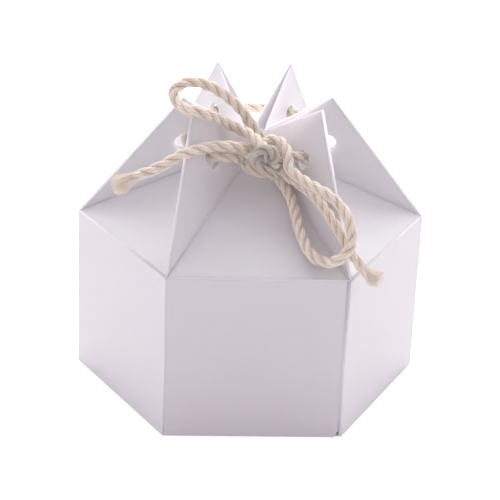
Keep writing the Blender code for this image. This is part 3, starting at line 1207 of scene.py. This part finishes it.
def add_tuft(name, end, tips, settings, material, seed):
    """A frayed end: fibres that leave the strands and spread towards the tips.

    end holds the cord's last stretch, from its very end inward.
    """
    chance = random.Random(seed)
    root = end[-1]
    heading = (end[0] - root).normalized()
    side = heading.orthogonal().normalized()
    other = heading.cross(side)
    spread = settings.diameter * settings.tuft_root
    lines = []
    for _ in range(settings.fibre_count):
        turn = chance.uniform(0.0, math.tau)
        reach = spread * math.sqrt(chance.random())
        offset = side * math.cos(turn) * reach + other * math.sin(turn) * reach
        start = root + offset
        middle = end[len(end) // 2] + offset
        k = chance.randrange(len(tips) - 1)
        tip = Vector(tips[k]).lerp(Vector(tips[k + 1]), chance.random())
        tip = middle.lerp(tip, chance.uniform(*TUFT_REACH)) + offset * chance.uniform(*TUFT_FLARE)
        places = []
        for j in range(TUFT_POINTS):
            share = j / (TUFT_POINTS - 1)
            places.append(start.lerp(middle, share).lerp(middle.lerp(tip, share), share))
        lines.append(places)
    return add_fibres(name, lines, settings.fibre_radius, material)


def add_fuzz(points, settings, material, seed):
    """Short loose fibres that stand off the cord all along it."""
    chance = random.Random(seed)
    lines = []
    for point, heading, side, other in chance.choices(line_frames(points), k=settings.fuzz_count):
        turn = chance.uniform(0.0, math.tau)
        out = side * math.cos(turn) + other * math.sin(turn)
        round_way = heading.cross(out)
        start = point + out * settings.diameter * chance.uniform(*FUZZ_ROOT)
        half = settings.fuzz_length * chance.uniform(*FUZZ_SIZE) / 2.0
        along = heading * chance.uniform(*FUZZ_LEAN_ALONG)
        along += round_way * chance.uniform(*FUZZ_LEAN_ROUND)
        middle = start + (out * FUZZ_FIRST_RISE + along * FUZZ_FIRST_LEAN) * half
        rise = out * chance.uniform(*FUZZ_LEAN_OUT)
        tip = middle + (rise + along * FUZZ_SECOND_LEAN) * half
        lines.append([start, middle, tip])
    return add_fibres("cord_fuzz", lines, settings.fuzz_radius, material)


# Studio


def add_lamp(name, place, size, power):
    """A soft square lamp that lights the box."""
    light = bpy.data.lights.new(name, "AREA")
    light.size = size
    light.energy = power
    item = bpy.data.objects.new(name, light)
    bpy.context.collection.objects.link(item)
    item.location = place
    item.rotation_euler = (Vector(LAMP_TARGET) - item.location).to_track_quat("-Z", "Y").to_euler()


def add_floor(settings):
    """A wide pale floor under the box."""
    shape = bmesh.new()
    bmesh.ops.create_grid(shape, x_segments=1, y_segments=1, size=FLOOR_HALF_WIDTH)
    bmesh.ops.translate(shape, verts=shape.verts, vec=(0.0, 0.0, -FLOOR_DROP))
    mesh = bpy.data.meshes.new("floor")
    shape.to_mesh(mesh)
    shape.free()
    mesh.materials.append(floor_material(settings))
    floor = bpy.data.objects.new("floor", mesh)
    bpy.context.collection.objects.link(floor)


def add_world(settings):
    """White behind everything the camera sees, and soft light from all round."""
    world = bpy.data.worlds.new("tent")
    world.use_nodes = True
    tree = world.node_tree
    seen = tree.nodes.new("ShaderNodeLightPath").outputs["Is Camera Ray"]
    light = ramp(tree, seen, [(0.0, tuple(settings.ambient)), (1.0, (1.0, 1.0, 1.0))])
    tree.links.new(light, tree.nodes["Background"].inputs["Color"])
    bpy.context.scene.world = world


def add_camera(settings):
    """The camera at the photograph's own angle."""
    roll = settings.roll
    azimuth = settings.azimuth
    flat = math.cos(settings.elevation)
    drop = math.sin(settings.elevation)
    ahead = Vector((-math.sin(azimuth) * flat, math.cos(azimuth) * flat, -drop))
    level = ahead.cross(Vector((0.0, 0.0, 1.0))).normalized()
    above = level.cross(ahead)
    right = level * math.cos(roll) + above * math.sin(roll)
    up = above * math.cos(roll) - level * math.sin(roll)
    data = bpy.data.cameras.new("camera")
    data.lens = settings.lens
    data.sensor_width = SENSOR_WIDTH
    data.clip_start = NEAREST_SIGHT
    camera = bpy.data.objects.new("camera", data)
    bpy.context.collection.objects.link(camera)
    turn = Matrix((right, up, -ahead)).transposed().to_4x4()
    place = Vector(settings.target) - ahead * settings.distance
    camera.matrix_world = Matrix.Translation(place) @ turn
    bpy.context.scene.camera = camera


# Operators


class GIFTBOX_OT_stage(Operator):
    """Set up the camera, the lamps, the floor and the white surroundings"""

    bl_idname = "giftbox.stage"
    bl_label = "Set up studio"

    def execute(self, context):
        settings = context.scene.giftbox.stage
        add_camera(settings)
        add_world(settings)
        add_floor(settings)
        add_lamp("lamp_right", RIGHT_LAMP_PLACE, SIDE_LAMP_WIDTH, settings.right_power)
        add_lamp("lamp_left", LEFT_LAMP_PLACE, SIDE_LAMP_WIDTH, settings.left_power)
        add_lamp("lamp_back", BACK_LAMP_PLACE, BACK_LAMP_WIDTH, settings.back_power)
        context.scene.view_settings.view_transform = "Standard"
        return {"FINISHED"}


class GIFTBOX_OT_cord(Operator):
    """Lay the twisted cord along its route and fray its ends"""

    bl_idname = "giftbox.cord"
    bl_label = "Lay cord"

    def execute(self, context):
        settings = context.scene.giftbox.cord
        strands = cord_material(settings)
        fibres = fibre_material(settings)
        route = even_points(smooth_route(CORD_ROUTE, SAMPLES), settings.step)
        kept = trim_ends(route, settings.step, settings.strand_end)
        cord = add_strands("cord", kept, settings, strands)
        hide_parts(*CORD_NODES)
        turn = even_points(smooth_route(KNOT_TURN, SAMPLES), settings.step)
        knot = add_strands("knot_turn", turn, settings, strands)
        fuzz = add_fuzz(kept, settings, fibres, FUZZ_SEED)
        count = round(settings.tuft_start / settings.step)
        left_end = route[:count]
        right_end = route[-count:][::-1]
        left = add_tuft("left_tuft", left_end, LEFT_TUFT, settings, fibres, LEFT_TUFT_SEED)
        right = add_tuft("right_tuft", right_end, RIGHT_TUFT, settings, fibres, RIGHT_TUFT_SEED)
        return {"FINISHED"}


class GIFTBOX_OT_card(Operator):
    """Give the card panels and glued tabs their finish"""

    bl_idname = "giftbox.card"
    bl_label = "Finish card"

    def execute(self, context):
        finish_card(context.scene.giftbox.card)
        return {"FINISHED"}


class GIFTBOX_OT_creases(Operator):
    """Round the pressed creases between the card panels"""

    bl_idname = "giftbox.creases"
    bl_label = "Round creases"

    def execute(self, context):
        settings = context.scene.giftbox.card
        pressed = card_material(
            "card_crease",
            tuple(settings.colour),
            settings.crease_roughness,
            settings.crease_through,
            settings.top_light_depth,
        )
        add_wall_creases(settings, pressed)
        add_seam_edge(settings, pressed)
        add_top_creases(settings, pressed)
        return {"FINISHED"}


class GIFTBOX_PT_panel(Panel):
    """Buttons and settings in the sidebar"""

    bl_idname = "GIFTBOX_PT_panel"
    bl_label = "Gift Box"
    bl_space_type = "VIEW_3D"
    bl_region_type = "UI"
    bl_category = "Gift Box"

    def draw(self, context):
        column = self.layout.column()
        for operator in OPERATORS:
            column.operator(operator.bl_idname)
        groups = context.scene.giftbox
        for group in (groups.card, groups.cord, groups.stage):
            for name in group.bl_rna.properties.keys():
                if name not in ("rna_type", "name"):
                    column.prop(group, name)


GROUPS = (GIFTBOX_PG_card, GIFTBOX_PG_cord, GIFTBOX_PG_stage, GIFTBOX_PG_settings)
OPERATORS = (GIFTBOX_OT_stage, GIFTBOX_OT_cord, GIFTBOX_OT_card, GIFTBOX_OT_creases)
CLASSES = GROUPS + OPERATORS + (GIFTBOX_PT_panel,)


def register():
    """Make the settings, buttons and panel known."""
    for item in CLASSES:
        bpy.utils.register_class(item)
    bpy.types.Scene.giftbox = PointerProperty(type=GIFTBOX_PG_settings)


def unregister():
    """Take them away again."""
    del bpy.types.Scene.giftbox
    for item in reversed(CLASSES):
        bpy.utils.unregister_class(item)


def main():
    """Build everything in order."""
    register()
    bpy.ops.giftbox.stage()
    bpy.ops.giftbox.cord()
    bpy.ops.giftbox.card()
    bpy.ops.giftbox.creases()


if __name__ == "__main__":
    main()
